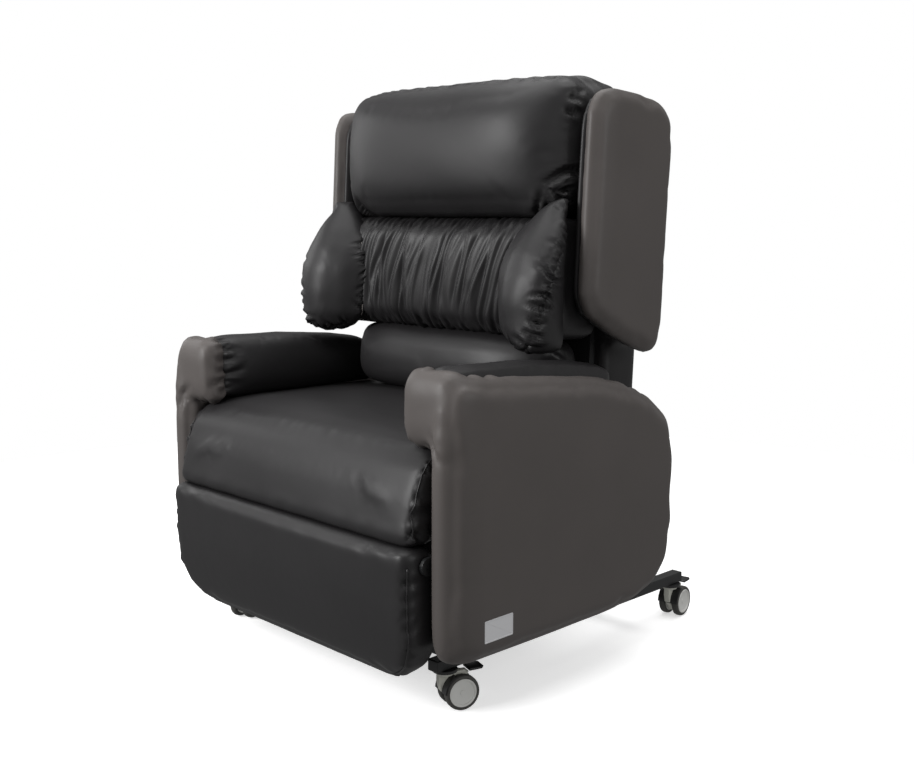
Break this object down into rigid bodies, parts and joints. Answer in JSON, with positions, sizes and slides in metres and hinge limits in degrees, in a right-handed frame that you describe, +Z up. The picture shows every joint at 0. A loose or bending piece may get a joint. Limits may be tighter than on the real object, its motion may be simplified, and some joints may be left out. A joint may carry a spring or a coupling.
{
  "type": "patient recliner chair",
  "caption": "Padded tilting and reclining care chair with wings, arm panels, a lifting leg rest and a castored base.",
  "frame": {"origin": "centre of the bounding box at floor level, under the chair", "axes": "+Z up, the sitter faces -Y, the sitter's left is +X"},
  "size_m": [0.9955, 1.0124, 1.2945],
  "materials": {
    "black_vinyl": "matte polyurethane-coated fabric",
    "grey_vinyl": "satin polyurethane-coated fabric",
    "frame_steel": "black powder coat",
    "board_lining": "plywood wrapped in black spun-bonded lining cloth",
    "label_foil": "brushed foil, blank",
    "spring_steel": "ground and chromed rod",
    "black_plastic": "moulded, fine grain",
    "castor_grey": "moulded nylon",
    "wheel_plastic": "moulded nylon disc with a dark rubber tread"
  },
  "bodies": {
    "base": {"base_rail_left": "frame_steel", "base_rail_right": "frame_steel", "base_cross_front": "frame_steel", "base_cross_rear": "frame_steel", "tilt_post_left": "frame_steel", "tilt_post_right": "frame_steel", "castor_plate_front_left": "black_plastic", "castor_plate_front_right": "black_plastic", "castor_plate_rear_left": "black_plastic", "castor_plate_rear_right": "black_plastic"},
    "seat": {"seat_rail_left": "frame_steel", "seat_rail_right": "frame_steel", "seat_cross_front": "frame_steel", "seat_cross_rear": "frame_steel", "seat_board": "board_lining", "seat_cushion": "black_vinyl", "arm_panel_left": "grey_vinyl", "arm_panel_right": "grey_vinyl", "arm_pad_left": "black_vinyl", "arm_pad_right": "black_vinyl", "nameplate": "label_foil", "legrest_bracket_left": "frame_steel", "legrest_bracket_right": "frame_steel", "legrest_hinge_tube": "frame_steel"},
    "legrest": {"legrest_cushion": "black_vinyl", "legrest_board": "board_lining"},
    "back": {"back_upright_left": "frame_steel", "back_upright_right": "frame_steel", "back_cross_low": "frame_steel", "back_cross_high": "frame_steel", "back_board": "board_lining", "back_shell": "black_vinyl", "head_cushion": "black_vinyl", "mid_cushion": "black_vinyl", "lumbar_cushion": "black_vinyl", "lateral_cushion_left": "black_vinyl", "lateral_cushion_right": "black_vinyl", "wing_left": "grey_vinyl", "wing_right": "grey_vinyl", "push_bar": "frame_steel"},
    "castor_front_left": {"castor_fork_front_left": "castor_grey"},
    "wheels_front_left": {"castor_wheels_front_left": "wheel_plastic"},
    "pedal_front_left": {"brake_pedal_front_left": "black_plastic"},
    "castor_front_right": {"castor_fork_front_right": "castor_grey"},
    "wheels_front_right": {"castor_wheels_front_right": "wheel_plastic"},
    "pedal_front_right": {"brake_pedal_front_right": "black_plastic"},
    "castor_rear_left": {"castor_fork_rear_left": "castor_grey"},
    "wheels_rear_left": {"castor_wheels_rear_left": "wheel_plastic"},
    "pedal_rear_left": {"brake_pedal_rear_left": "black_plastic"},
    "castor_rear_right": {"castor_fork_rear_right": "castor_grey"},
    "wheels_rear_right": {"castor_wheels_rear_right": "wheel_plastic"},
    "pedal_rear_right": {"brake_pedal_rear_right": "black_plastic"},
    "paddle_tilt": {"release_paddle_tilt": "black_plastic"},
    "paddle_recline": {"release_paddle_recline": "black_plastic"},
    "tilt_spring": {"tilt_gas_spring": "black_plastic"},
    "tilt_rod": {"tilt_spring_rod": "spring_steel"},
    "recline_spring": {"recline_gas_spring": "black_plastic"},
    "recline_rod": {"recline_spring_rod": "spring_steel"},
    "legrest_spring": {"legrest_gas_spring": "black_plastic"},
    "legrest_rod": {"legrest_spring_rod": "spring_steel"}
  },
  "joints": [
    {"name": "seat_tilt", "type": "hinge", "parent": "base", "child": "seat", "pos_m": [0, 0.02, 0.34], "axis": [-1, 0, 0], "range_deg": [0, 25]},
    {"name": "back_recline", "type": "hinge", "parent": "seat", "child": "back", "pos_m": [0, 0.13, 0.43], "axis": [-1, 0, 0], "range_deg": [0, 40]},
    {"name": "legrest_lift", "type": "hinge", "parent": "seat", "child": "legrest", "pos_m": [0, -0.458, 0.335], "axis": [-1, 0, 0], "range_deg": [0, 70]},
    {"name": "castor_swivel_front_left", "type": "hinge", "parent": "base", "child": "castor_front_left", "pos_m": [0.37, -0.36, 0.08], "axis": [0, 0, 1], "continuous": true},
    {"name": "wheel_spin_front_left", "type": "hinge", "parent": "castor_front_left", "child": "wheels_front_left", "pos_m": [0.38026, -0.33181, 0.0375], "axis": [0.9397, -0.342, 0], "continuous": true},
    {"name": "brake_press_front_left", "type": "hinge", "parent": "castor_front_left", "child": "pedal_front_left", "pos_m": [0.38778, -0.31114, 0.0805], "axis": [-0.9397, 0.342, 0], "range_deg": [0, 10]},
    {"name": "castor_swivel_front_right", "type": "hinge", "parent": "base", "child": "castor_front_right", "pos_m": [-0.37, -0.36, 0.08], "axis": [0, 0, 1], "continuous": true},
    {"name": "wheel_spin_front_right", "type": "hinge", "parent": "castor_front_right", "child": "wheels_front_right", "pos_m": [-0.38026, -0.33181, 0.0375], "axis": [0.9397, 0.342, 0], "continuous": true},
    {"name": "brake_press_front_right", "type": "hinge", "parent": "castor_front_right", "child": "pedal_front_right", "pos_m": [-0.38778, -0.31114, 0.0805], "axis": [-0.9397, -0.342, 0], "range_deg": [0, 10]},
    {"name": "castor_swivel_rear_left", "type": "hinge", "parent": "base", "child": "castor_rear_left", "pos_m": [0.37, 0.424, 0.08], "axis": [0, 0, 1], "continuous": true},
    {"name": "wheel_spin_rear_left", "type": "hinge", "parent": "castor_rear_left", "child": "wheels_rear_left", "pos_m": [0.36583, 0.45371, 0.0375], "axis": [0.9903, 0.1392, 0], "continuous": true},
    {"name": "brake_press_rear_left", "type": "hinge", "parent": "castor_rear_left", "child": "pedal_rear_left", "pos_m": [0.36276, 0.47549, 0.0805], "axis": [-0.9903, -0.1392, 0], "range_deg": [0, 10]},
    {"name": "castor_swivel_rear_right", "type": "hinge", "parent": "base", "child": "castor_rear_right", "pos_m": [-0.37, 0.424, 0.08], "axis": [0, 0, 1], "continuous": true},
    {"name": "wheel_spin_rear_right", "type": "hinge", "parent": "castor_rear_right", "child": "wheels_rear_right", "pos_m": [-0.36583, 0.45371, 0.0375], "axis": [0.9903, -0.1392, 0], "continuous": true},
    {"name": "brake_press_rear_right", "type": "hinge", "parent": "castor_rear_right", "child": "pedal_rear_right", "pos_m": [-0.36276, 0.47549, 0.0805], "axis": [-0.9903, 0.1392, 0], "range_deg": [0, 10]},
    {"name": "release_tilt", "type": "hinge", "parent": "back", "child": "paddle_tilt", "pos_m": [-0.08, 0.33469, 1.00888], "axis": [1, 0, 0], "range_deg": [0, 18], "stiffness_Nm_per_rad": 0.6, "springref_deg": -8.59},
    {"name": "release_recline", "type": "hinge", "parent": "back", "child": "paddle_recline", "pos_m": [0.08, 0.33469, 1.00888], "axis": [1, 0, 0], "range_deg": [0, 18], "stiffness_Nm_per_rad": 0.6, "springref_deg": -8.59},
    {"name": "tilt_spring_swing", "type": "hinge", "parent": "base", "child": "tilt_spring", "pos_m": [-0.06, 0.3, 0.15], "axis": [-1, 0, 0], "range_deg": [0, 13]},
    {"name": "tilt_spring_stroke", "type": "slide", "parent": "tilt_spring", "child": "tilt_rod", "axis": [0, -0.9687, 0.2484], "range_m": [0, 0.042]},
    {"name": "recline_spring_swing", "type": "hinge", "parent": "seat", "child": "recline_spring", "pos_m": [0.06, -0.285, 0.285], "axis": [-1, 0, 0], "range_deg": [-1, 0]},
    {"name": "recline_spring_stroke", "type": "slide", "parent": "recline_spring", "child": "recline_rod", "axis": [0, 0.9995, 0.033], "range_m": [-0.096, 0]},
    {"name": "legrest_spring_swing", "type": "hinge", "parent": "seat", "child": "legrest_spring", "pos_m": [0.17, 0.045, 0.3], "axis": [-1, 0, 0], "range_deg": [-7, 0]},
    {"name": "legrest_spring_stroke", "type": "slide", "parent": "legrest_spring", "child": "legrest_rod", "axis": [0, -0.9988, 0.0496], "range_m": [0, 0.048]}
  ],
  "couplings": [
    {"joint": "tilt_spring_swing", "follows": "seat_tilt", "ratio": 0.4742},
    {"joint": "tilt_spring_stroke", "follows": "seat_tilt", "m_per_rad": 0.08669},
    {"joint": "recline_spring_swing", "follows": "back_recline", "ratio": -0.0106},
    {"joint": "recline_spring_stroke", "follows": "back_recline", "m_per_rad": -0.13294},
    {"joint": "legrest_spring_swing", "follows": "legrest_lift", "ratio": -0.0938},
    {"joint": "legrest_spring_stroke", "follows": "legrest_lift", "m_per_rad": 0.03758}
  ]
}
